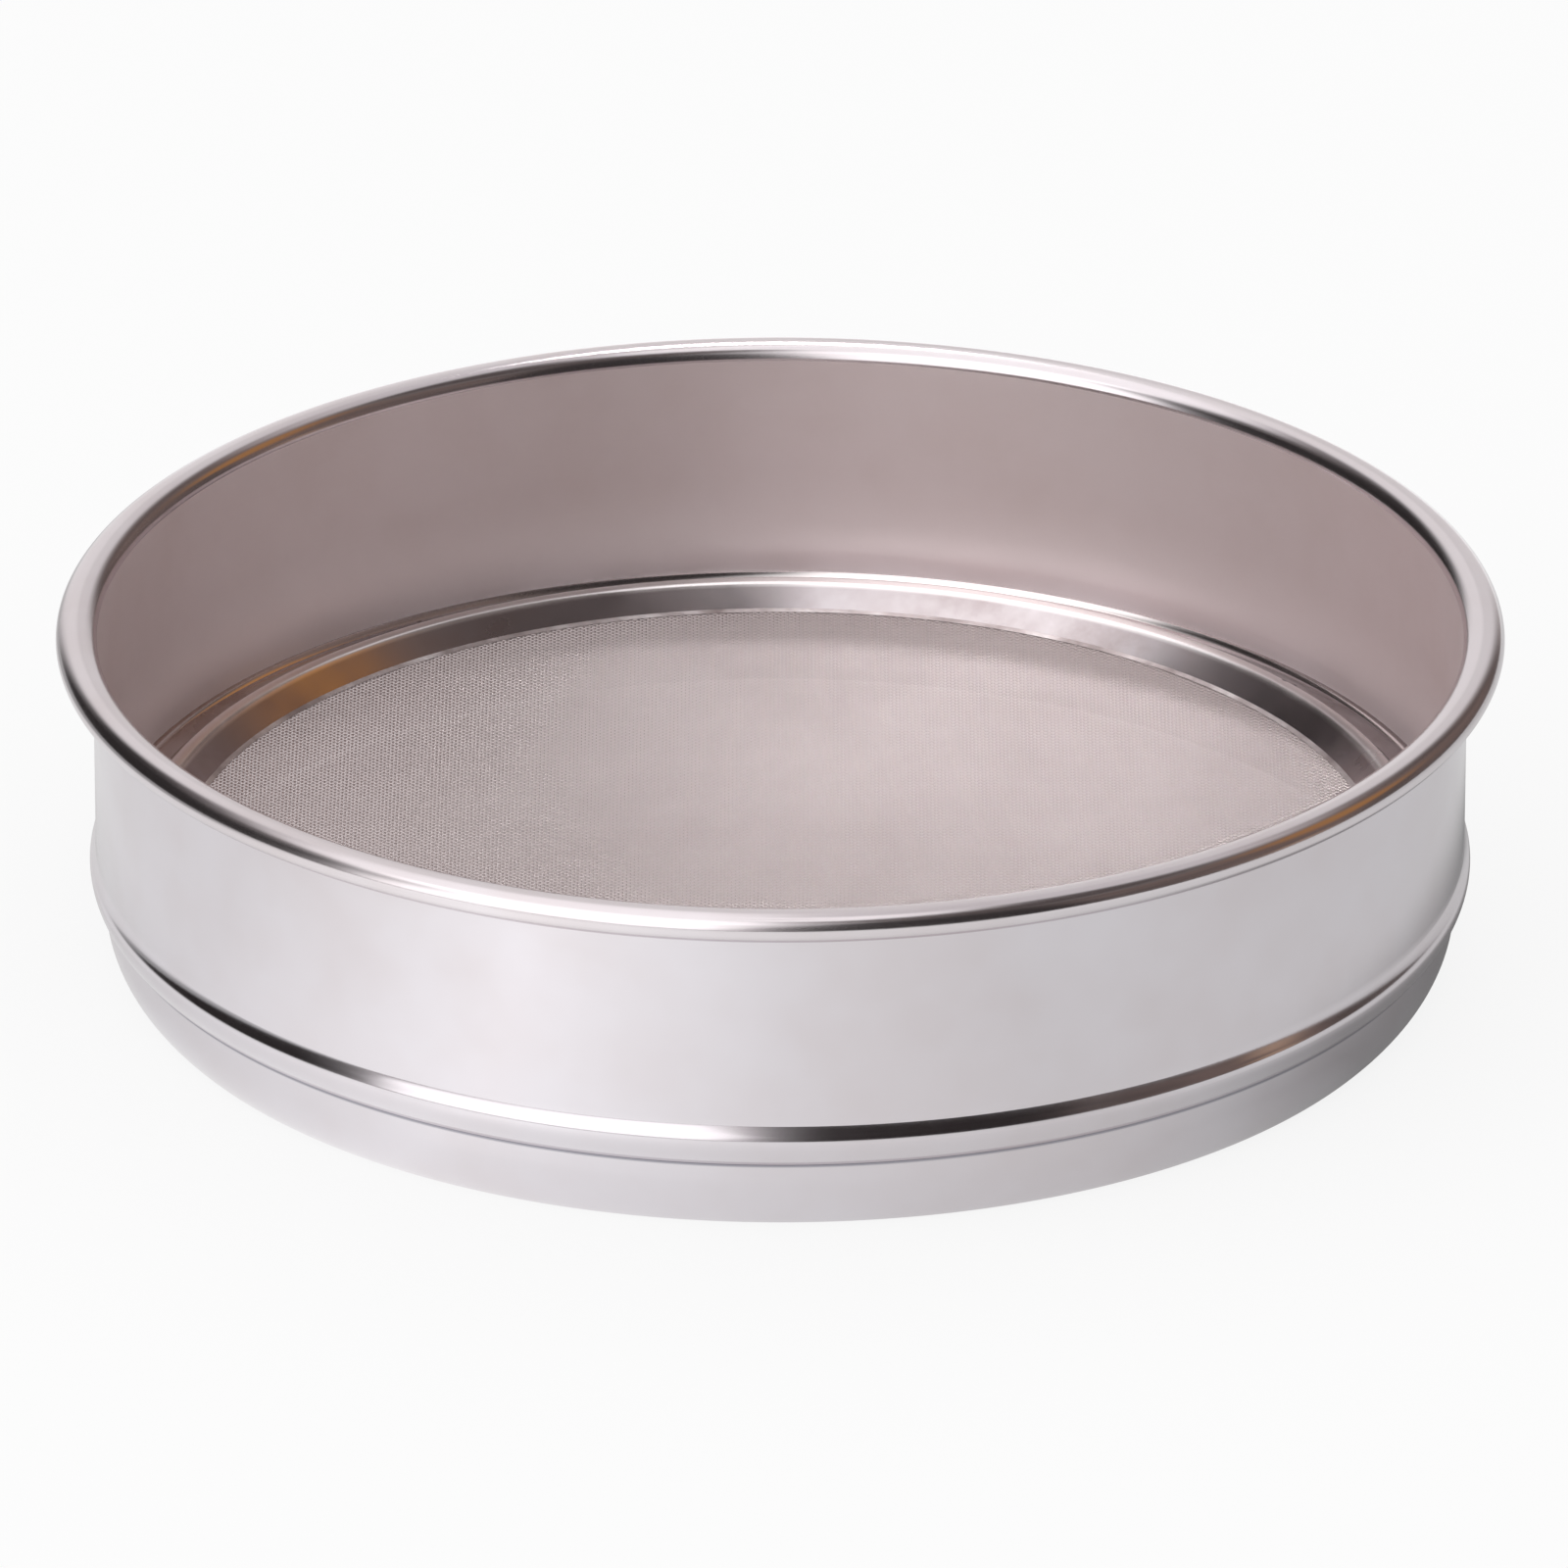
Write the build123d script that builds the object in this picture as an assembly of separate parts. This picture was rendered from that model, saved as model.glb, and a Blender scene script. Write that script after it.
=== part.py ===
from build123d import *
from math import acos, asin, atan2, degrees, hypot, radians, sin, tan
import os

# A drum sieve of stainless steel sheet with a fine wire cloth, in millimetres. It stands on the lip of
# its skirt with +Z up, and the origin is on the drum's axis at that lip. Every piece but the cloth is a
# ring turned round that axis, and its section is drawn with the distance from the axis across and the
# height up.

# Drum
mouth_radius = 100.0
overall_height = 52.5
drum_sheet = 0.6
rim_roll_width = 6.0
rim_roll_height = 4.6
rim_edge_gap = 0.15
ridge_standout = 0.9
ridge_level = 15.0
ridge_bend = 3.0
flare_bend = 9.4
crease_level = 10.8

# Skirt
skirt_clearance = 0.7
skirt_sheet = 0.6
skirt_land = 2.3
lip_draw_in = 3.8
lock_standout = 1.0

# Wire cloth
cloth_level = 13.6
cloth_thickness = 0.4
gap_pitch = 10.0
gap_width = 6.6
smallest_gap_share = 0.3

# Cloth ring and its solder
ring_sheet = 0.6
ring_band_width = 11.2
crest_inset_share = 0.357
crest_rise = 3.45
crest_bend = 1.2
back_slope = 50
foot_bend = 1.0
ring_edge_height = 0.3
groove_clearance = 0.3
cloth_solder_width = 0.7
solder_clearance = 0.1
wall_solder_leg = 2.0

# Radii and levels that follow
wall_radius = mouth_radius + drum_sheet
roll_centre_radius = mouth_radius + rim_roll_width / 2
roll_level = overall_height - rim_roll_height / 2
ridge_radius = wall_radius + ridge_standout
groove_radius = ridge_radius - drum_sheet
skirt_radius = mouth_radius - skirt_clearance
opening_radius = mouth_radius - ring_band_width
crest_radius = opening_radius + ring_band_width * crest_inset_share
cloth_top = cloth_level + cloth_thickness
foot_radius = groove_radius - groove_clearance
foot_top = cloth_top + ring_sheet


def arc(centre, radius, start, end):
    """A circular arc from one angle to another, in degrees."""
    return CenterArc(centre, radius, start, end - start)


def turned(edges):
    """The ring whose section these edges outline."""
    section = make_face(Curve() + edges)
    return revolve(Plane.XZ * section, Axis.Z)


def tangent_radius(drop, inset):
    """Radius of the arc that leaves a vertical wall and moves in by inset over the drop."""
    return (drop**2 + inset**2) / (2 * inset)


def rim_roll():
    """Both faces of the rim's roll, from the drum's inner face over and back to its outer face."""
    centre = (roll_centre_radius, roll_level)
    outer_width = rim_roll_width / 2
    outer_height = rim_roll_height / 2
    inner_width = outer_width - drum_sheet
    inner_height = outer_height - drum_sheet
    edge_inset = roll_centre_radius - wall_radius - rim_edge_gap
    sweep = 180 + degrees(acos(-edge_inset / outer_width))
    outer = EllipticalCenterArc(centre, outer_width, outer_height, start_angle=180, arc_size=-sweep)
    inner = EllipticalCenterArc(centre, inner_width, inner_height, start_angle=180, arc_size=-sweep)
    return outer, inner


def ridge_bends():
    """Centres and tilt of the two bends that carry the wall out to the ridge."""
    tilt = degrees(acos(1 - ridge_standout / (flare_bend + ridge_bend)))
    ridge_centre = (ridge_radius - ridge_bend, ridge_level)
    flare_top = ridge_level + (flare_bend + ridge_bend) * sin(radians(tilt))
    flare_centre = (wall_radius + flare_bend, flare_top)
    return ridge_centre, flare_centre, tilt


def fold(depth):
    """The fold's arc at this depth in the sheet, from the ridge down to where it bites the skirt."""
    radius = tangent_radius(ridge_level - crease_level, ridge_radius - skirt_radius)
    centre_radius = ridge_radius - radius
    turn = degrees(acos((skirt_radius - centre_radius) / radius))
    return arc((centre_radius, ridge_level), radius - depth, 0, -turn)


def drum():
    """The upper sheet: rolled rim, wall, ridge, and the fold that grips the skirt."""
    outer_roll, inner_roll = rim_roll()
    ridge_centre, flare_centre, tilt = ridge_bends()
    flare_top = flare_centre[1]
    outer_fold = fold(0)
    inner_fold = fold(drum_sheet)
    outside = [
        Line(inner_roll @ 0, (wall_radius, flare_top)),
        arc(flare_centre, flare_bend, 180, 180 + tilt),
        arc(ridge_centre, ridge_bend, tilt, 0),
        outer_fold,
    ]
    inside = [
        inner_fold,
        arc(ridge_centre, ridge_bend - drum_sheet, 0, tilt),
        arc(flare_centre, flare_bend + drum_sheet, 180 + tilt, 180),
        Line((mouth_radius, flare_top), outer_roll @ 0),
    ]
    sheet_edges = [Line(outer_fold @ 1, inner_fold @ 1), Line(outer_roll @ 1, inner_roll @ 1)]
    return turned(outside + inside + sheet_edges + [outer_roll, inner_roll])


def skirt():
    """The lower sheet: drawn-in lip, plain land, neck bitten by the fold, and ledge under the cloth."""
    land_low = crease_level - skirt_land
    bend = tangent_radius(land_low, lip_draw_in)
    bend_centre = (skirt_radius - bend, land_low)
    inner_bend = bend - skirt_sheet
    lip = arc(bend_centre, bend, -degrees(asin(land_low / bend)), 0)
    lip_inside = arc(bend_centre, inner_bend, 0, -degrees(asin(land_low / inner_bend)))
    neck = fold(drum_sheet) @ 1
    inset = Vector(skirt_sheet, 0)
    ledge_under = cloth_level - skirt_sheet
    lock = Vector(skirt_radius + lock_standout, ledge_under)
    crease = Vector(skirt_radius, crease_level)
    outside = [lip @ 1, crease, neck, lock, (lock.X, cloth_level)]
    ledge = [(opening_radius, cloth_level), (opening_radius, ledge_under)]
    inside = [lock - inset, neck - inset, crease - inset, lip_inside @ 0]
    upper = Polyline(outside + ledge + inside)
    return turned([lip, upper, lip_inside, Line(lip_inside @ 1, lip @ 0)])


def inner_slope():
    """Angle of the cloth ring's inner slope, which leaves its edge and runs tangent to its crest."""
    across = crest_radius - opening_radius
    up = crest_rise - crest_bend - ring_edge_height
    return degrees(atan2(up, across) + asin(crest_bend / hypot(across, up)))


def crest(depth):
    """The cloth ring's crest at this depth in the sheet, from its inner slope to its back slope."""
    centre = (crest_radius, cloth_top + crest_rise - crest_bend)
    return arc(centre, crest_bend - depth, 90 + inner_slope(), 90 - back_slope)


def heel(depth):
    """The bend at this depth in the sheet, from the cloth ring's back slope into its flat foot."""
    start = crest(0) @ 1
    toe = start.X + (start.Y - foot_top) / tan(radians(back_slope))
    centre = (toe + foot_bend * tan(radians(back_slope / 2)), foot_top + foot_bend)
    return arc(centre, foot_bend + depth, 270 - back_slope, 270)


def cloth_ring():
    """The ring that presses the cloth on the ledge: inner slope, crest, back slope and flat foot."""
    top_crest = crest(0)
    top_heel = heel(0)
    under_heel = heel(ring_sheet)
    under_crest = crest(ring_sheet)
    edge_top = (opening_radius, cloth_top + ring_edge_height)
    edge_inset = ring_sheet * sin(radians(inner_slope()))
    inner_face = Line(edge_top, top_crest @ 0)
    back_face = Line(top_crest @ 1, top_heel @ 0)
    foot = Polyline(top_heel @ 1, (foot_radius, foot_top), (foot_radius, cloth_top), under_heel @ 1)
    back_under = Line(under_heel @ 0, under_crest @ 1)
    edge = Polyline(
        under_crest @ 0, (opening_radius + edge_inset, cloth_top), (opening_radius, cloth_top), edge_top
    )
    top_edges = [inner_face, top_crest, back_face, top_heel, foot]
    under_edges = [under_heel, back_under, under_crest, edge]
    return turned(top_edges + under_edges)


def wire_cloth():
    """The sieve bottom as one flat net, its edge plain where ledge and ring clamp it."""
    count = 2 * int(opening_radius / gap_pitch) + 2
    grid = Sketch() + GridLocations(gap_pitch, gap_pitch, count, count) * Rectangle(gap_width, gap_width)
    gaps = grid & Circle(opening_radius - cloth_solder_width)
    smallest = smallest_gap_share * gap_width**2
    kept = [gap for gap in gaps.faces() if gap.area > smallest]
    net = Circle(foot_radius) - kept
    return Pos(0, 0, cloth_level) * extrude(net, cloth_thickness)


def cloth_solder():
    """The thin fillet of solder that closes the corner between the ring's edge and the cloth."""
    corner = (opening_radius, cloth_top)
    toe = (opening_radius - cloth_solder_width, cloth_top)
    top = (opening_radius, cloth_top + ring_edge_height)
    return turned([Polyline(top, corner, toe, top)])


def wall_solder():
    """The solder on the ring's foot, which closes the corner under the flare and the groove behind it."""
    ridge_centre, flare_centre, tilt = ridge_bends()
    solder_top = foot_top + wall_solder_leg
    side_radius = groove_radius - solder_clearance
    flare_radius = flare_bend + drum_sheet + solder_clearance
    top_turn = degrees(asin((flare_centre[1] - solder_top) / flare_radius))
    flare_side = arc(flare_centre, flare_radius, 180 + top_turn, 180 + tilt)
    toe = (mouth_radius - wall_solder_leg, foot_top)
    face_top = (mouth_radius, solder_top)
    groove_side = [flare_side @ 0, flare_side @ 1, (side_radius, ridge_level), (side_radius, foot_top)]
    return turned([Polyline([toe, face_top] + groove_side + [toe])])


pieces = {
    "drum_frame": drum(),
    "nesting_skirt": skirt(),
    "wire_cloth": wire_cloth(),
    "cloth_ring": cloth_ring(),
    "cloth_solder": cloth_solder(),
    "wall_solder": wall_solder(),
}

os.makedirs("parts", exist_ok=True)
for name, piece in pieces.items():
    export_step(piece, f"parts/{name}.step")
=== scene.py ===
from math import acos, asin, atan2, cos, degrees, pi, radians, sin, tan

import bpy
from mathutils import Matrix, Vector


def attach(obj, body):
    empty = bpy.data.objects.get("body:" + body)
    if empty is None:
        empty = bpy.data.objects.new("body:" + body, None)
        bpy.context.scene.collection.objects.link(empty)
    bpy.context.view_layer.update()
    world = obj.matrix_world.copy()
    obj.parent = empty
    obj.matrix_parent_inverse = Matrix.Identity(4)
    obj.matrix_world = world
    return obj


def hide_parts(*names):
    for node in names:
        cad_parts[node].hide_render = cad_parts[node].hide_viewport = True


mm = 0.001

# Sheet sections in millimetres and degrees, distance from the drum's axis across and height up
mouth_radius = 100.0
drum_sheet = 0.6
rim_height = 52.5
roll_width = 6.0
roll_height = 4.6
roll_edge_gap = 0.15
ridge_standout = 0.9
ridge_level = 15.0
ridge_bend = 2.3
lead_bend = 12.0
lead_tilt = 5
crease_bend = 0.8
crease_tilt = 15
slope_bend = 7.6
ridge_tilt = 27
crease_level = 10.8

skirt_radius = 99.3
skirt_sheet = 0.6
land_low = 8.5
lip_draw_in = 3.8
lock_standout = 1.0

cloth_low = 13.6
cloth_top = 14.0
opening_radius = 88.8

ring_sheet = 0.6
crest_radius = 93.0
crest_bend = 1.9
arch_rise = 3.45
back_slope = 50
foot_bend = 1.0
fillet_bend = 2.1
fillet_low_turn = -46
fillet_high_turn = -16
fillet_face_gap = 0.4
flare_start_gap = 0.01
wiped_height = 0.9
ring_edge_height = 0.3
foot_radius = 100.6

wire_radius = 0.13
wire_pitch = 0.55
weave_rise = 1.5 * wire_radius
cloth_cut_radius = 91.0
band_split = 0.405

ring_steps = 360
doubled_gap = 0.002
merge_distance = 0.001 * mm
crisp_angle = 32

wall_radius = mouth_radius + drum_sheet
ridge_radius = wall_radius + ridge_standout
rim_from_radius = ridge_radius + 0.3
flare_bends = (
    (lead_bend, 0, lead_tilt),
    (crease_bend, lead_tilt, crease_tilt),
    (slope_bend, crease_tilt, ridge_tilt),
)
flare_top = ridge_level + ridge_bend * sin(radians(ridge_tilt)) + sum(
    radius * (sin(radians(end)) - sin(radians(start))) for radius, start, end in flare_bends)
roll_level = rim_height - roll_height / 2
roll_centre = (mouth_radius + roll_width / 2, roll_level)

# Camera in metres and degrees, its lens in millimetres
camera_place = (0.00057, -2.5318, 1.1760)
camera_tilt = 24.44
camera_roll = 0.066
camera_sensor = 36
camera_lens = 434.6
camera_reach = 20

# Floor in metres, and the tones of its painted sheen by bearing in degrees from the front to the right
floor_width = 8
# Painted shadow: close to the drum, the sheen is painted dark at the right as the drum's shadow
close_sheen_and_shadow_tones = (
    (-180, 0.30), (-130, 0.52), (-75, 0.72), (-35, 1.05), (0, 0.80), (30, 0.64),
    (42, 0.50), (52, 0.32), (62, 0.17), (95, 0.06), (140, 0.05), (180, 0.30))
near_tones = (
    (-180, 0.72), (-120, 0.70), (-75, 0.82), (-32, 1.22), (0, 0.86), (30, 0.68), (110, 0.54), (180, 0.70))
far_tones = (
    (-180, 1.3), (-165, 0.95), (-150, 0.40), (-125, 0.15), (-88, 0.16), (-66, 1.0), (-45, 1.2),
    (-12, 0.90), (15, 0.82), (60, 0.70), (120, 0.42), (140, 0.50), (160, 1.1), (180, 1.3))
close_to_near = (0.108, 0.135)
near_to_far = (0.205, 0.32)
glow_edge = (0.0925, 0.0955)
glow_share = 0.85
sheen_share = 0.7
sheen_strength = 1.22

# Marks of making and wear on the sheet, with painted light on the inner wall's foot and the ring's crest,
# and painted shade in the seam
lines_round = 3.0
lines_across = 2600.0
line_roughness = 0.10
smear_roughness = 0.06
smear_tint = (0.9, 0.86, 0.84)
blotch_share = 0.14
ripple_depth = 0.12 * mm
# Painted light: the inner wall is painted lighter from this height down to its foot, as a painted
# reflection of the bright cloth
foot_painted_light_from = 17.5 * mm
foot_painted_light_to = 33 * mm
# Painted shade: a dark band is painted along the seam, where the drum's fold meets the skirt
seam_level = 10.75 * mm
seam_painted_shade = (0.05 * mm, 0.42 * mm)
# Painted highlight: the ring's crest is painted near white between these heights
crest_painted_highlight = (16.55 * mm, 17.05 * mm)


# Nodes

def add(tree, kind, inputs=None, **settings):
    """A node with its settings, its values and its incoming links."""
    made = tree.nodes.new(kind)
    for name, value in settings.items():
        setattr(made, name, value)
    for key, value in (inputs or {}).items():
        if isinstance(value, bpy.types.NodeSocket):
            tree.links.new(value, made.inputs[key])
        else:
            made.inputs[key].default_value = value
    return made


def sums(tree, operation, *values):
    """A math node's output."""
    return add(tree, "ShaderNodeMath", dict(enumerate(values)), operation=operation).outputs[0]


def blend(tree, share, under, over):
    """Two colours mixed: only the first at a share of 0, only the second at 1."""
    return add(tree, "ShaderNodeMix", {"Factor": share, 6: under, 7: over}, data_type="RGBA").outputs[2]


def either(tree, share, first, second):
    """Two shaders mixed in the same way."""
    return add(tree, "ShaderNodeMixShader", {0: share, 1: first.outputs[0], 2: second.outputs[0]})


def noise(tree, place, scale, detail, roughness=0.5):
    """Soft noise over these coordinates."""
    made = add(tree, "ShaderNodeTexNoise", {
        "Vector": place, "Scale": scale, "Detail": detail, "Roughness": roughness})
    return made.outputs["Fac"]


def ramp(tree, value, stops):
    """A colour ramp through stops of (position, colour)."""
    made = add(tree, "ShaderNodeValToRGB", {"Fac": value})
    elements = made.color_ramp.elements
    while len(elements) < len(stops):
        elements.new(0.5)
    for element, (position, colour) in zip(elements, stops):
        element.position = position
        element.color = (*colour, 1)
    return made.outputs["Color"]


def grey(value):
    return (value, value, value)


def object_place(tree):
    return add(tree, "ShaderNodeTexCoord").outputs["Object"]


def level_distance(tree, x, y):
    """Distance from the drum's axis."""
    return sums(tree, "SQRT", sums(tree, "ADD", sums(tree, "MULTIPLY", x, x), sums(tree, "MULTIPLY", y, y)))


def smooth(tree, value, low, high, to_low=0.0, to_high=1.0):
    """A soft step from low to high."""
    made = add(
        tree,
        "ShaderNodeMapRange",
        {"Value": value, "From Min": low, "From Max": high, "To Min": to_low, "To Max": to_high},
        interpolation_type="SMOOTHSTEP",
    )
    return made.outputs[0]


def fresh(name):
    """A material with only its output node, and that node."""
    material = bpy.data.materials.new(name)
    material.use_nodes = True
    tree = material.node_tree
    tree.nodes.clear()
    out = add(tree, "ShaderNodeOutputMaterial")
    return material, tree, out


# Studio

def set_camera():
    tilt_down = Matrix.Rotation(radians(90 - camera_tilt), 4, "X")
    roll = Matrix.Rotation(radians(camera_roll), 4, "Z")
    bpy.ops.object.camera_add(location=camera_place, rotation=(tilt_down @ roll).to_euler())
    camera = bpy.context.object
    camera.data.sensor_width = camera_sensor
    camera.data.lens = camera_lens
    camera.data.clip_end = camera_reach
    bpy.context.scene.camera = camera


def bearing_of(tree, across, along):
    """Bearing about the drum as a share of the whole round: 0.5 is the front, 0.75 the right."""
    turn = sums(tree, "ARCTAN2", across, sums(tree, "MULTIPLY", along, -1.0))
    return sums(tree, "MULTIPLY_ADD", turn, 0.5 / pi, 0.5)


def bearing_share(turn):
    """A bearing in degrees, counted from the front to the right, as that share of the round."""
    return turn / 360 + 0.5


def tones_about(tree, bearing, tones):
    """Greys that change with the bearing."""
    return ramp(tree, bearing, [(bearing_share(turn), grey(tone)) for turn, tone in tones])


def lay_floor():
    """White paper. To the eye it glows, so that the picture's ground is white and keeps a faint
    shadow. The metal sees a painted sheen on it, brightest towards the window and dark past its left
    edge, with the drum's shadow painted dark close by at the right. From below it can be seen through."""
    bpy.ops.mesh.primitive_plane_add(size=floor_width, location=(0, 0, 0))
    floor = bpy.context.object
    floor.name = "floor"
    material, tree, out = fresh("white paper")
    path = add(tree, "ShaderNodeLightPath").outputs
    x, y = add(tree, "ShaderNodeSeparateXYZ", {0: object_place(tree)}).outputs[:2]
    bearing = bearing_of(tree, x, y)
    close, near, far = [tones_about(tree, bearing, tones) for tones in (close_sheen_and_shadow_tones, near_tones, far_tones)]
    away = level_distance(tree, x, y)
    beside = blend(tree, smooth(tree, away, *close_to_near), close, near)
    tone = blend(tree, smooth(tree, away, *near_to_far), beside, far)
    paper = add(tree, "ShaderNodeBsdfDiffuse", {"Color": (0.88, 0.88, 0.88, 1)})
    glow = add(tree, "ShaderNodeEmission", {"Color": (1, 1, 1, 1), "Strength": 1.0})
    sheen = add(tree, "ShaderNodeEmission", {"Color": tone, "Strength": sheen_strength})
    glowing = sums(tree, "MULTIPLY", smooth(tree, away, *glow_edge), glow_share)
    seen = either(tree, sums(tree, "MULTIPLY", path["Is Camera Ray"], glowing), paper, glow)
    mirrored = either(tree, sums(tree, "MULTIPLY", path["Is Glossy Ray"], sheen_share), seen, sheen)
    from_below = add(tree, "ShaderNodeNewGeometry").outputs["Backfacing"]
    one_sided = either(tree, from_below, mirrored, add(tree, "ShaderNodeBsdfTransparent"))
    tree.links.new(one_sided.outputs[0], out.inputs[0])
    floor.data.materials.append(material)


def room_part(tree, bearing, rise, under, left, right, low, high, soft, colour):
    """Lays one part of the room over what is under it, from left to right and low to high in degrees,
    with edges as soft as this in degrees."""
    edge = soft / 360
    left_share, right_share = bearing_share(left), bearing_share(right)
    across = sums(tree, "MULTIPLY",
                  smooth(tree, bearing, left_share - edge, left_share + edge),
                  smooth(tree, bearing, right_share + edge, right_share - edge))
    low_out, low_in, high_out, high_in = [
        sin(radians(max(-89, min(89, turn))))
        for turn in (low - soft / 2, low + soft / 2, high + soft / 2, high - soft / 2)]
    upward = sums(tree, "MULTIPLY",
                  smooth(tree, rise, low_out, low_in),
                  smooth(tree, rise, high_out, high_in))
    return blend(tree, sums(tree, "MULTIPLY", across, upward), under, colour)


def set_world():
    """White all round for the floor and the eye. What the metal mirrors is a room: a window wall at
    the front left with a white ceiling over it, dark walls on both sides of it, wood at the right,
    and paper behind."""
    world = bpy.data.worlds.new("studio")
    world.use_nodes = True
    tree = world.node_tree
    tree.nodes.clear()
    out = add(tree, "ShaderNodeOutputWorld")
    place = add(tree, "ShaderNodeTexCoord").outputs["Generated"]
    x, y, rise = add(tree, "ShaderNodeSeparateXYZ", {0: place}).outputs
    bearing = bearing_of(tree, x, y)
    grain = noise(tree, place, 5.0, 3.0)
    wood = ramp(tree, grain, [(0.40, (0.095, 0.075, 0.070)), (0.62, (0.18, 0.13, 0.115))])
    # left, right, low, high, softness, colour
    room_parts = {
        "paper behind at the left": (-190, -148, -5, 60, 14, (0.92, 0.89, 0.89, 1)),
        "paper behind at the right": (150, 190, -5, 60, 14, (0.80, 0.77, 0.77, 1)),
        "left wall": (-150, -74, -3, 40, 8, (0.022, 0.018, 0.018, 1)),
        "high left wall": (-150, -96, 38, 52, 10, (0.10, 0.085, 0.085, 1)),
        "window wall": (-66, -6, -5, 82, 6, (1.22, 1.19, 1.20, 1)),
        "sill": (-70, 4, -4, 2, 3, (0.22, 0.20, 0.20, 1)),
        "right wall": (2, 52, -2, 75, 6, (0.025, 0.02, 0.02, 1)),
        "wood": (50, 156, -2, 52, 8, wood),
        "wooden shelf": (98, 124, 26, 48, 8, (0.40, 0.19, 0.065, 1)),
        "warm glint": (81, 91, 1, 13, 5, (0.44, 0.30, 0.22, 1)),
        "ceiling over the window": (-190, -4, 50, 90, 10, (1.3, 1.27, 1.28, 1)),
        "ceiling at the right": (8, 120, 54, 82, 8, (0.085, 0.068, 0.065, 1)),
        "ceiling behind at the right": (124, 190, 48, 84, 12, (0.70, 0.67, 0.68, 1)),
        "lamp overhead": (-200, 200, 76, 90, 5, (1.3, 1.27, 1.28, 1)),
    }
    room = (0.26, 0.25, 0.25, 1)
    for part in room_parts.values():
        room = room_part(tree, bearing, rise, room, *part)
    mirrored = add(tree, "ShaderNodeBackground", {"Color": room, "Strength": 1.0})
    open_air = add(tree, "ShaderNodeBackground", {"Color": (1, 1, 1, 1), "Strength": 0.85})
    white = add(tree, "ShaderNodeBackground", {"Color": (1, 1, 1, 1), "Strength": 1.0})
    path = add(tree, "ShaderNodeLightPath").outputs
    light = either(tree, path["Is Glossy Ray"], open_air, mirrored)
    shown = either(tree, path["Is Camera Ray"], light, white)
    tree.links.new(shown.outputs[0], out.inputs[0])
    bpy.context.scene.world = world


def hang_softbox(name, azimuth, elevation, distance, width, height, watts):
    """A soft lamp aimed at the drum. Azimuth is counted from the front to the right."""
    a, e = radians(azimuth), radians(elevation)
    away = Vector((sin(a) * cos(e), -cos(a) * cos(e), sin(e)))
    centre = Vector((0, 0, 0.03))
    aimed = away.to_track_quat("Z", "Y").to_euler()
    bpy.ops.object.light_add(type="AREA", location=centre + away * distance, rotation=aimed)
    lamp = bpy.context.object
    lamp.name = name
    lamp.data.shape = "RECTANGLE"
    lamp.data.size = width
    lamp.data.size_y = height
    lamp.data.energy = watts


def hang_spot():
    """A small soft spot from behind, which lays the sheen on the cloth before the back wall."""
    lit_cloth = Vector((0.036, 0.050, 0.014))
    bpy.ops.object.light_add(type="SPOT", location=(0.05, 0.36, 0.50))
    lamp = bpy.context.object
    lamp.name = "cloth_spot"
    lamp.rotation_euler = (lamp.location - lit_cloth).to_track_quat("Z", "Y").to_euler()
    lamp.data.spot_size = radians(10.5)
    lamp.data.spot_blend = 1.0
    lamp.data.shadow_soft_size = 0.06
    lamp.data.energy = 5.2


# Materials

def metal(tree, out, skin, rough, normal, metallic=1.0):
    """Ends a material as metal with this skin, roughness and relief."""
    shader = add(tree, "ShaderNodeBsdfPrincipled", {
        "Base Color": skin, "Metallic": metallic, "Roughness": rough, "Normal": normal})
    tree.links.new(shader.outputs[0], out.inputs[0])


def steel(name, colour, roughness, line_depth, metallic=1.0, painted_shade_seam=False, painted_light_foot=False):
    """Stainless sheet: fine lines left by polishing round the drum, faint smears, and a slow ripple.
    The outside has a band of painted shade along its seam, and the inside is painted lighter towards its
    foot, as painted light."""
    material, tree, out = fresh(name)
    place = object_place(tree)
    x, y, z = add(tree, "ShaderNodeSeparateXYZ", {0: place}).outputs
    line_place = add(tree, "ShaderNodeCombineXYZ", {
        0: sums(tree, "MULTIPLY", sums(tree, "ARCTAN2", y, x), lines_round),
        1: sums(tree, "MULTIPLY", z, lines_across),
        2: sums(tree, "MULTIPLY", level_distance(tree, x, y), lines_across),
    }).outputs[0]
    lines = noise(tree, line_place, 1.0, 3.0, 0.6)
    ripple = noise(tree, place, 14.0, 1.0, 0.4)
    smears = smooth(tree, noise(tree, place, 26.0, 4.0, 0.55), 0.35, 0.75)
    blotches = smooth(tree, noise(tree, place, 95.0, 2.0), 0.40, 0.70, 0.0, blotch_share)
    cloudy = sums(tree, "ADD", sums(tree, "MULTIPLY", smears, 0.5), blotches)
    smeared = [channel * tint for channel, tint in zip(colour, smear_tint)]
    sheet = blend(tree, cloudy, (*colour, 1), (*smeared, 1))
    # Painted light: the inner wall is painted lighter towards its foot
    if painted_light_foot:
        foot_light_share = smooth(tree, z, foot_painted_light_from, foot_painted_light_to, 0.95, 0.0)
        sheet = blend(tree, foot_light_share, sheet, (0.98, 0.90, 0.90, 1))
    # Painted shade: a dark band along the seam
    if painted_shade_seam:
        beside_seam = sums(tree, "ABSOLUTE", sums(tree, "SUBTRACT", z, seam_level))
        sheet = blend(tree, smooth(tree, beside_seam, *seam_painted_shade, 0.75, 0.0), sheet, (0.22, 0.22, 0.26, 1))
    rough = sums(tree, "ADD",
                 sums(tree, "MULTIPLY_ADD", smears, smear_roughness, roughness),
                 sums(tree, "MULTIPLY", sums(tree, "SUBTRACT", lines, 0.5), line_roughness))
    fine = add(tree, "ShaderNodeBump", {"Strength": 1.0, "Distance": line_depth, "Height": lines})
    broad = add(tree, "ShaderNodeBump", {
        "Strength": 1.0, "Distance": ripple_depth, "Height": ripple, "Normal": fine.outputs[0]})
    metal(tree, out, sheet, rough, broad.outputs[0], metallic)
    return material


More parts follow.
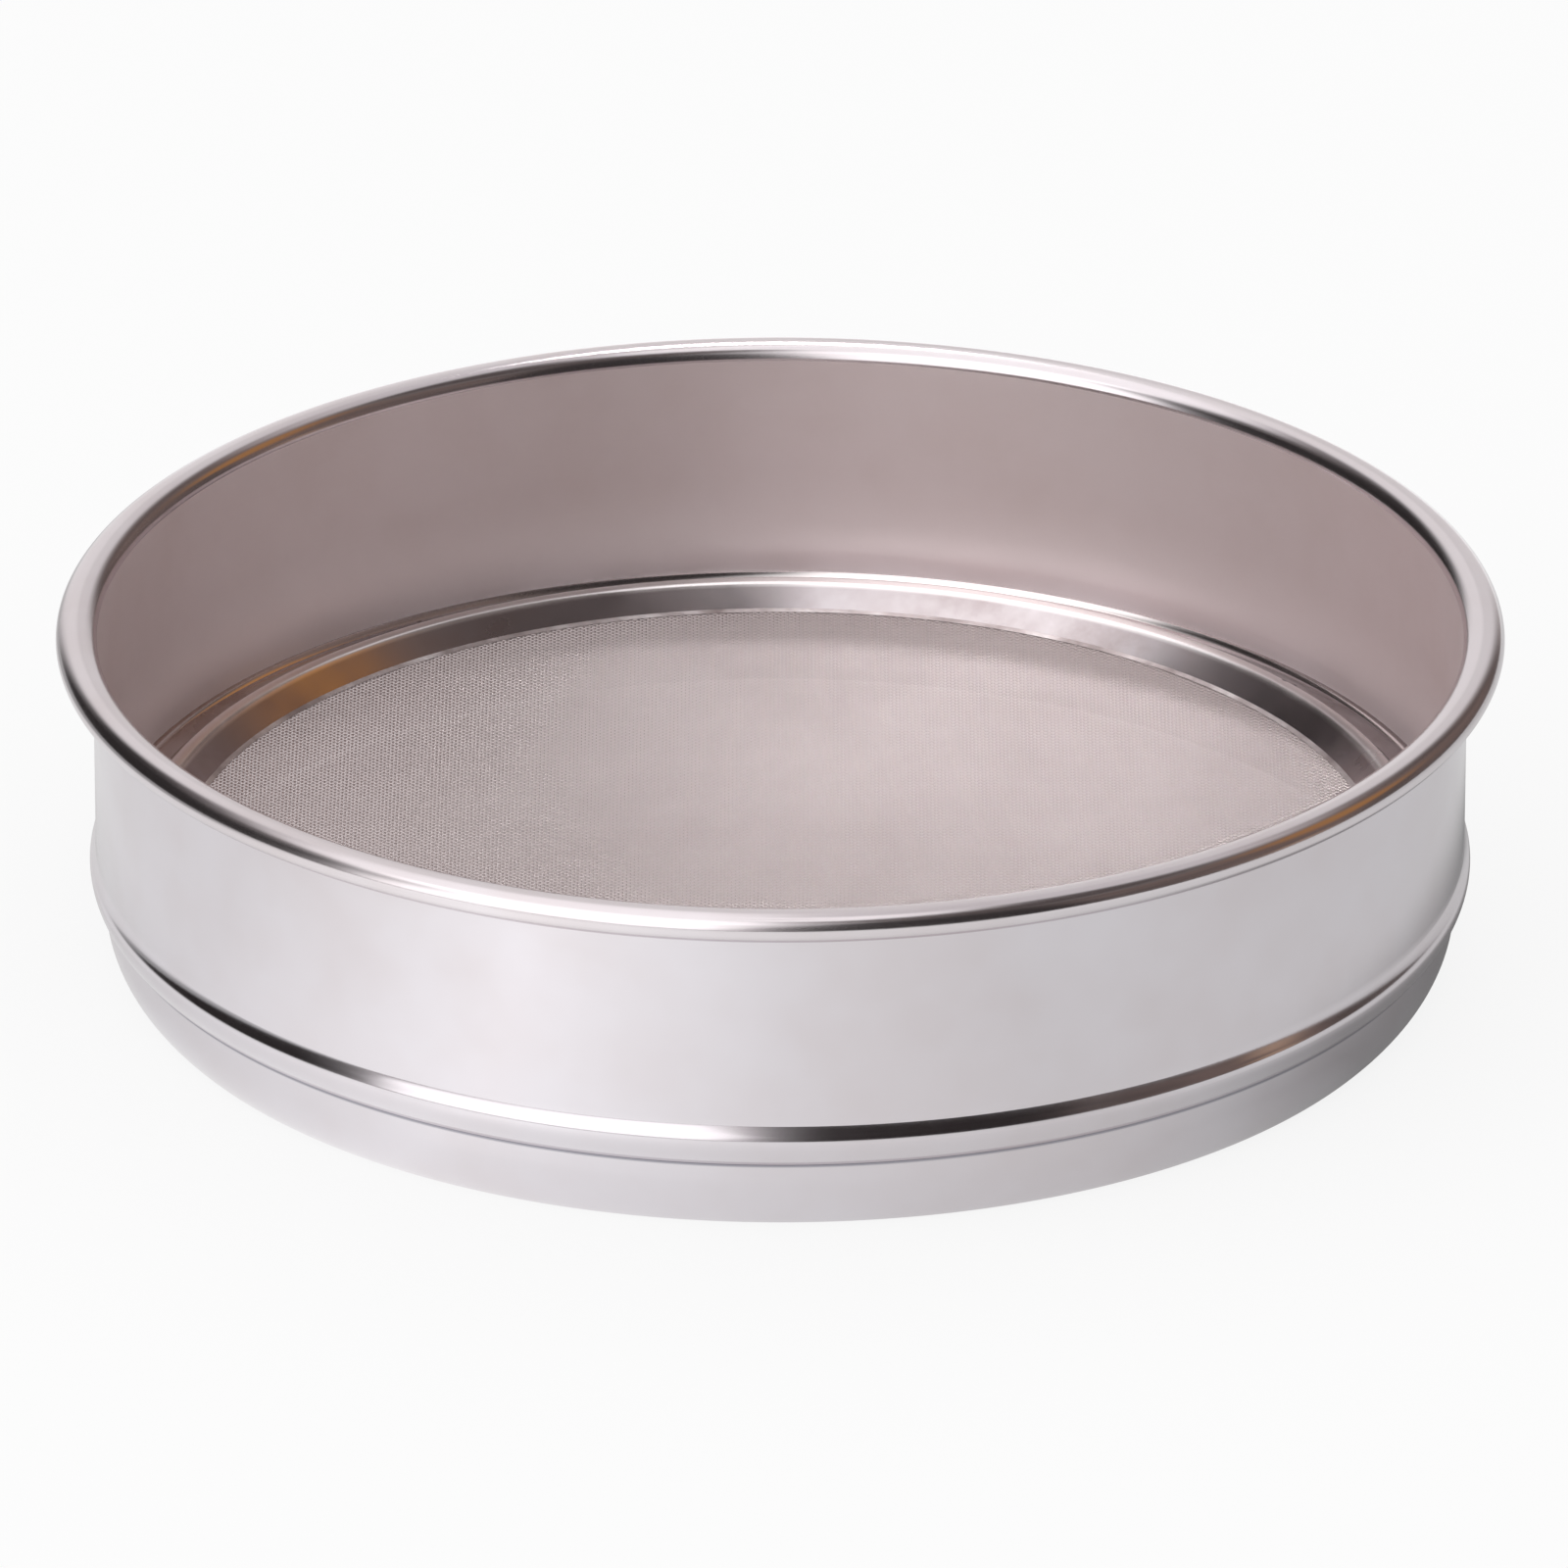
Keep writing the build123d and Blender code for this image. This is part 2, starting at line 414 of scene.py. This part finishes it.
def pressed_ring_metal():
    """The pressed ring: its slopes are dull and stained, its crest is painted near white as a painted
    highlight, and it has pits.
    """
    material, tree, out = fresh("pressed ring")
    place = object_place(tree)
    z = add(tree, "ShaderNodeSeparateXYZ", {0: place}).outputs[2]
    # Painted highlight: the crest is painted near white
    crest = smooth(tree, z, *crest_painted_highlight)
    stains = noise(tree, place, 55.0, 5.0, 0.6)
    slope = ramp(tree, stains, [
        (0.30, (0.42, 0.35, 0.35)), (0.50, (0.55, 0.495, 0.505)), (0.70, (0.62, 0.575, 0.595))])
    skin = blend(tree, crest, slope, (0.97, 0.93, 0.93, 1))
    specks = add(tree, "ShaderNodeTexVoronoi", {"Vector": place, "Scale": 130.0}).outputs
    round_a_pit = smooth(tree, specks["Distance"], 0.05, 0.10)
    few = smooth(tree, add(tree, "ShaderNodeSeparateColor", {0: specks["Color"]}).outputs[0], 0.80, 0.84)
    pits = sums(tree, "MULTIPLY", sums(tree, "SUBTRACT", 1.0, round_a_pit), few)
    pitted = blend(tree, pits, skin, (0.05, 0.035, 0.03, 1))
    rough = smooth(tree, stains, 0.3, 0.7, 0.28, 0.17)
    bump = add(tree, "ShaderNodeBump", {"Strength": 0.6, "Distance": 0.03 * mm, "Height": stains})
    metal(tree, out, pitted, rough, bump.outputs[0])
    return material


def solder_metal():
    """Soft solder: dull, pitted and uneven."""
    material, tree, out = fresh("soft solder")
    place = object_place(tree)
    pits = noise(tree, place, 900.0, 4.0)
    patches = noise(tree, place, 160.0, 3.0)
    skin = ramp(tree, patches, [
        (0.3, (0.40, 0.34, 0.335)), (0.5, (0.68, 0.62, 0.62)), (0.7, (0.95, 0.91, 0.91))])
    rough = smooth(tree, patches, 0.3, 0.7, 0.5, 0.28)
    bump = add(tree, "ShaderNodeBump", {"Strength": 1.0, "Distance": 0.1 * mm, "Height": pits})
    metal(tree, out, skin, rough, bump.outputs[0])
    return material


def wire_metal():
    """Drawn wire, a little browner and duller than the sheet, uneven from wire to wire. Its shading
    leans to the vertical, as if the crowns of the weave were pressed flat."""
    material, tree, out = fresh("drawn wire")
    place = object_place(tree)
    patches = noise(tree, place, 40.0, 3.0)
    fine = noise(tree, place, 1500.0, 2.0)
    skin = ramp(tree, patches, [(0.3, (0.665, 0.587, 0.583)), (0.7, (0.715, 0.638, 0.633))])
    rough = smooth(tree, fine, 0.3, 0.7, 0.36, 0.46)
    normal = add(tree, "ShaderNodeNewGeometry").outputs["Normal"]
    rise = add(tree, "ShaderNodeSeparateXYZ", {0: normal}).outputs[2]
    crown_lean = 0.4
    lean = sums(tree, "MULTIPLY", sums(tree, "SIGN", rise), crown_lean)
    upright = add(tree, "ShaderNodeCombineXYZ", {2: lean}).outputs[0]
    pressed = add(tree, "ShaderNodeVectorMath", {0: normal, 1: upright}, operation="ADD").outputs[0]
    flat_crowns = add(tree, "ShaderNodeVectorMath", {0: pressed}, operation="NORMALIZE").outputs[0]
    metal(tree, out, skin, rough, flat_crowns)
    return material


# Modelling

def bend(centre, radius, start, end, steps):
    """Points along a round bend of the sheet, from one angle to another in degrees."""
    return oval(centre, radius, radius, start, end, steps)


def oval(centre, across, up, start, end, steps):
    """Points along an oval bend, from one angle to another in degrees."""
    turns = [radians(start + (end - start) * step / steps) for step in range(steps + 1)]
    return [(centre[0] + across * cos(turn), centre[1] + up * sin(turn)) for turn in turns]


def straight(start, end, steps):
    """Points along a straight run of the sheet."""
    across, up = end[0] - start[0], end[1] - start[1]
    return [(start[0] + across * step / steps, start[1] + up * step / steps) for step in range(steps + 1)]


def without_doubles(outline):
    """The outline's points, each only once where two lie in one place."""
    points = [outline[0]]
    for point in outline[1:]:
        if (Vector(point) - Vector(points[-1])).length > doubled_gap:
            points.append(point)
    if (Vector(points[0]) - Vector(points[-1])).length < doubled_gap:
        points.pop()
    return points


def draw_section(name, points):
    """A ring's section, drawn point by point and closed."""
    bpy.ops.object.select_all(action="DESELECT")
    bpy.ops.mesh.primitive_plane_add(size=mm, location=(0, 0, 0))
    section = bpy.context.object
    section.name = name
    bpy.ops.object.mode_set(mode="EDIT")
    bpy.ops.mesh.select_all(action="SELECT")
    bpy.ops.mesh.merge(type="CENTER")
    bpy.ops.transform.translate(value=(points[0][0] * mm, 0, points[0][1] * mm))
    for (r0, z0), (r1, z1) in zip(points, points[1:]):
        step = ((r1 - r0) * mm, 0, (z1 - z0) * mm)
        bpy.ops.mesh.extrude_vertices_move(TRANSFORM_OT_translate={"value": step})
    bpy.ops.mesh.select_all(action="DESELECT")
    bpy.ops.object.mode_set(mode="OBJECT")
    section.data.vertices[0].select = True
    section.data.vertices[len(points) - 1].select = True
    bpy.ops.object.mode_set(mode="EDIT")
    bpy.ops.mesh.edge_face_add()
    bpy.ops.object.mode_set(mode="OBJECT")
    return section


def turn_ring(name, outline):
    """A ring: its section turned round the drum's axis."""
    ring = draw_section(name, without_doubles(outline))
    screw = ring.modifiers.new("turn", "SCREW")
    screw.axis = "Z"
    screw.steps = ring_steps
    screw.render_steps = ring_steps
    screw.use_merge_vertices = True
    screw.merge_threshold = merge_distance
    bpy.ops.object.modifier_apply(modifier="turn")
    bpy.ops.object.mode_set(mode="EDIT")
    bpy.ops.mesh.select_all(action="SELECT")
    bpy.ops.mesh.normals_make_consistent(inside=False)
    bpy.ops.object.mode_set(mode="OBJECT")
    bpy.ops.object.shade_smooth_by_angle(angle=radians(crisp_angle))
    return ring


def finish_piece(piece, material, node):
    """Gives a piece its finish, and its place in the part instead of the plain solid."""
    piece.data.materials.clear()
    piece.data.materials.append(material)
    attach(piece, "root")
    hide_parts(node)


def coat_faces(piece, material, chosen):
    """Gives the faces chosen by place and direction another finish."""
    piece.data.materials.append(material)
    for face in piece.data.polygons:
        if chosen(face.center, face.normal):
            face.material_index = len(piece.data.materials) - 1


def flare_outline(depth):
    """The drum's face from the wall down the flare to the ridge, at this depth in the sheet."""
    points = [(wall_radius - depth, flare_top)]
    at = Vector((wall_radius, flare_top))
    for radius, start, end in flare_bends:
        centre = at + Vector((cos(radians(start)), sin(radians(start)))) * radius
        points += bend(centre, radius + depth, 180 + start, 180 + end, 8)
        at = centre - Vector((cos(radians(end)), sin(radians(end)))) * radius
    centre = at - Vector((cos(radians(ridge_tilt)), sin(radians(ridge_tilt)))) * ridge_bend
    return points + bend(centre, ridge_bend - depth, ridge_tilt, 0, 10)


def drum_outline():
    """The drum: fold, flare and wall on the inside, the rolled rim, and back down on the outside. With
    it goes the fold's end, where it grips the skirt's neck."""
    drop = ridge_level - crease_level
    inset = ridge_radius - skirt_radius
    fold_radius = (drop**2 + inset**2) / (2 * inset)
    fold_centre = (ridge_radius - fold_radius, ridge_level)
    fold_turn = degrees(acos((skirt_radius - fold_centre[0]) / fold_radius))
    edge_inset = roll_centre[0] - wall_radius - roll_edge_gap
    roll_turn = 180 + degrees(acos(-edge_inset / (roll_width / 2)))
    roll_inside = (roll_width / 2 - drum_sheet, roll_height / 2 - drum_sheet)
    inside = (
        bend(fold_centre, fold_radius - drum_sheet, -fold_turn, 0, 14)
        + flare_outline(drum_sheet)[::-1]
        + straight((mouth_radius, flare_top), (mouth_radius, roll_level), 16)
    )
    roll = oval(roll_centre, roll_width / 2, roll_height / 2, 180, 180 - roll_turn, 56)
    roll_back = oval(roll_centre, roll_inside[0], roll_inside[1], 180 - roll_turn, 180, 28)
    outside = (
        straight((wall_radius, roll_level), (wall_radius, flare_top), 16)
        + flare_outline(0)
        + bend(fold_centre, fold_radius, 0, -fold_turn, 16)
    )
    return inside + roll + roll_back + outside, inside[0]


def skirt_outline(neck):
    """The skirt: drawn-in lip, upright land, neck, lock bead and the ledge under the cloth."""
    bend_radius = (land_low**2 + lip_draw_in**2) / (2 * lip_draw_in)
    centre = (skirt_radius - bend_radius, land_low)
    inner = bend_radius - skirt_sheet
    lip_turn = degrees(asin(land_low / bend_radius))
    inner_turn = degrees(asin(land_low / inner))
    ledge_under = cloth_low - skirt_sheet
    lock_radius = skirt_radius + lock_standout
    return (
        bend(centre, bend_radius, -lip_turn, 0, 24)
        + [
            (skirt_radius, crease_level),
            neck,
            (lock_radius, ledge_under),
            (lock_radius, cloth_low),
            (opening_radius, cloth_low),
            (opening_radius, ledge_under),
            (lock_radius - skirt_sheet, ledge_under),
            (neck[0] - skirt_sheet, neck[1]),
            (skirt_radius - skirt_sheet, crease_level),
        ]
        + bend(centre, inner, 0, -inner_turn, 24)
    )


def back_toe(crest, radius, level):
    """Where the ring's back slope, which leaves a crest of this radius, comes down to this level."""
    turn = radians(back_slope)
    return crest[0] + radius * sin(turn) + (crest[1] + radius * cos(turn) - level) / tan(turn)


def ring_outline():
    """The pressing ring: an inner slope, a tight crest, a back slope, and a flat foot in the groove."""
    crest = (crest_radius, cloth_top + arch_rise - crest_bend)
    under = crest_bend - ring_sheet
    foot_top = cloth_top + ring_sheet
    inner = (opening_radius, cloth_top + ring_edge_height)
    across, up = crest[0] - inner[0], crest[1] - inner[1]
    slope = degrees(asin(crest_bend / (across**2 + up**2) ** 0.5)) + degrees(atan2(up, across))
    toe = back_toe(crest, crest_bend, foot_top)
    toe_under = back_toe(crest, under, cloth_top)
    heel = (toe + foot_bend * tan(radians(back_slope / 2)), foot_top + foot_bend)
    inner_under = opening_radius + ring_sheet * sin(radians(slope))
    return (
        [inner]
        + bend(crest, crest_bend, 90 + slope, 90 - back_slope, 24)
        + bend(heel, foot_bend, 270 - back_slope, 270, 8)
        + [(foot_radius, foot_top), (foot_radius, cloth_top), (toe_under, cloth_top)]
        + bend(crest, under, 90 - back_slope, 90 + slope, 12)
        + [(inner_under, cloth_top), (opening_radius, cloth_top)]
    )


def fillet_outline():
    """The solder that fills the groove over the ring's foot, wiped to a small slope against the wall."""
    foot_top = cloth_top + ring_sheet
    corner = (
        mouth_radius - fillet_bend * cos(radians(fillet_high_turn)),
        foot_top - fillet_bend * sin(radians(fillet_low_turn)),
    )
    wiped = bend(corner, fillet_bend, fillet_low_turn, fillet_high_turn, 12)
    behind = [point for point in flare_outline(drum_sheet) if point[0] > mouth_radius + flare_start_gap]
    return (
        wiped
        + straight(wiped[-1], (mouth_radius, flare_top - fillet_face_gap), 4)
        + behind
        + [(behind[-1][0], foot_top)]
    )


def repeat(piece, count, step, merge):
    """Copies a piece in a row, each copy one step on, and joins their ends where merge says so."""
    array = piece.modifiers.new("row", "ARRAY")
    array.count = count
    array.use_relative_offset = False
    array.use_constant_offset = True
    array.constant_offset_displace = step
    array.use_merge_vertices = merge
    array.merge_threshold = merge_distance
    bpy.ops.object.modifier_apply(modifier="row")


def one_wave(lift):
    """A piece of wire that goes once down and up again, along X."""
    bpy.ops.object.select_all(action="DESELECT")
    bpy.ops.mesh.primitive_circle_add(
        vertices=4, radius=wire_radius * mm, location=(0, 0, 0), rotation=(0, pi / 2, 0))
    wire = bpy.context.object
    bpy.ops.object.transform_apply(location=True, rotation=True, scale=True)
    bpy.ops.object.mode_set(mode="EDIT")
    bpy.ops.mesh.select_all(action="SELECT")
    bpy.ops.transform.translate(value=(0, 0, lift / 2 * mm))
    for rise in (-lift, lift):
        step = (wire_pitch * mm, 0, rise * mm)
        bpy.ops.mesh.extrude_region_move(TRANSFORM_OT_translate={"value": step})
    bpy.ops.mesh.select_all(action="SELECT")
    bpy.ops.mesh.normals_make_consistent(inside=False)
    bpy.ops.object.mode_set(mode="OBJECT")
    return wire


def trim_to_round(band):
    """Cuts a band of wires to the round under the ring and closes the wires' ends."""
    bpy.ops.object.mode_set(mode="EDIT")
    bpy.ops.mesh.select_mode(type="VERT")
    bpy.ops.mesh.select_all(action="DESELECT")
    bpy.ops.object.mode_set(mode="OBJECT")
    for vertex in band.data.vertices:
        vertex.select = vertex.co.xy.length > cloth_cut_radius * mm
    bpy.ops.object.mode_set(mode="EDIT")
    bpy.ops.mesh.delete(type="VERT")
    bpy.ops.mesh.select_all(action="SELECT")
    bpy.ops.mesh.fill_holes(sides=4)
    bpy.ops.object.mode_set(mode="OBJECT")


def wire_band(name, first, count, along_y):
    """A band of wires side by side, each one over where its neighbours go under."""
    half_waves = 2 * int(cloth_cut_radius / wire_pitch / 2 + 1)
    start = -half_waves * wire_pitch
    middle = (cloth_low + cloth_top) / 2
    phase = wire_pitch if along_y else 0.0
    wire = one_wave(weave_rise)
    repeat(wire, half_waves + 1, (2 * wire_pitch * mm, 0, 0), True)
    neighbour = (wire_pitch * mm, wire_pitch * mm, 0)
    bpy.ops.object.mode_set(mode="EDIT")
    bpy.ops.mesh.select_all(action="SELECT")
    bpy.ops.mesh.duplicate_move(TRANSFORM_OT_translate={"value": neighbour})
    bpy.ops.mesh.select_all(action="SELECT")
    bpy.ops.transform.translate(value=((start + phase) * mm, first * wire_pitch * mm, middle * mm))
    bpy.ops.object.mode_set(mode="OBJECT")
    repeat(wire, (count + 1) // 2, (0, 2 * wire_pitch * mm, 0), False)
    if along_y:
        wire.rotation_euler = (0, 0, pi / 2)
        bpy.ops.object.transform_apply(location=True, rotation=True, scale=True)
    trim_to_round(wire)
    bpy.ops.object.shade_smooth()
    wire.name = name
    return wire


def weave_cloth(material):
    """The cloth, in four bands of wires each way, so that no piece has too many faces. Every band
    starts with a wire that goes the same way over and under."""
    reach = int(cloth_cut_radius / wire_pitch)
    split = int(band_split * reach)
    edges = [-reach, -split, 0, split, reach + 1]
    for along_y, kind in ((False, "weft"), (True, "warp")):
        for number, (first, last) in enumerate(zip(edges, edges[1:]), 1):
            first += (first + reach) % 2
            band = wire_band(f"cloth_{kind}_{number}", first, last - first, along_y)
            finish_piece(band, material, "wire_cloth")


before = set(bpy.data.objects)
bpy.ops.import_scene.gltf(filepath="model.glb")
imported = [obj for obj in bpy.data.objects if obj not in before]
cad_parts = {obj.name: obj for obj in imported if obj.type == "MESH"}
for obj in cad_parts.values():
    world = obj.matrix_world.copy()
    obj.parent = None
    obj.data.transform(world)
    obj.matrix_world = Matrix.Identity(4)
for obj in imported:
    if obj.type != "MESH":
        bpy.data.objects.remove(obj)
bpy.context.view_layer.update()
bpy.ops.object.select_all(action="DESELECT")
bpy.context.scene.view_settings.view_transform = "Standard"

set_camera()
lay_floor()
set_world()
hang_softbox("window", azimuth=-38, elevation=38, distance=1.3, width=1.5, height=1.7, watts=3.6)
hang_spot()

outside_steel = steel("polished sheet", (0.705, 0.675, 0.705), 0.13, 0.0025 * mm, painted_shade_seam=True)
rim_steel = steel("rolled rim", (0.72, 0.68, 0.70), 0.18, 0.005 * mm)
inside_steel = steel(
    "satin sheet", (0.85, 0.765, 0.765), 0.46, 0.002 * mm, metallic=0.86, painted_light_foot=True)
ring_steel = pressed_ring_metal()
wiped_steel = steel("wiped solder", (0.86, 0.81, 0.81), 0.15, 0.004 * mm)
wire_steel = wire_metal()
solder = solder_metal()

outline, neck = drum_outline()
drum = turn_ring("drum_body", outline)
finish_piece(drum, outside_steel, "drum_frame")
coat_faces(drum, inside_steel, lambda at, out: at.z < roll_level * mm and out.xy.dot(at.xy) < 0)
coat_faces(drum, rim_steel, lambda at, out: at.z >= roll_level * mm or at.xy.length > rim_from_radius * mm)
skirt = turn_ring("skirt_body", skirt_outline(neck))
finish_piece(skirt, outside_steel, "nesting_skirt")
ring = turn_ring("cloth_ring_body", ring_outline())
finish_piece(ring, ring_steel, "cloth_ring")
fillet = turn_ring("wall_solder_fillet", fillet_outline())
finish_piece(fillet, inside_steel, "wall_solder")
coat_faces(fillet, wiped_steel, lambda at, out: at.z < (cloth_top + ring_sheet + wiped_height) * mm)
weave_cloth(wire_steel)

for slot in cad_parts["cloth_solder"].material_slots:
    slot.material = solder
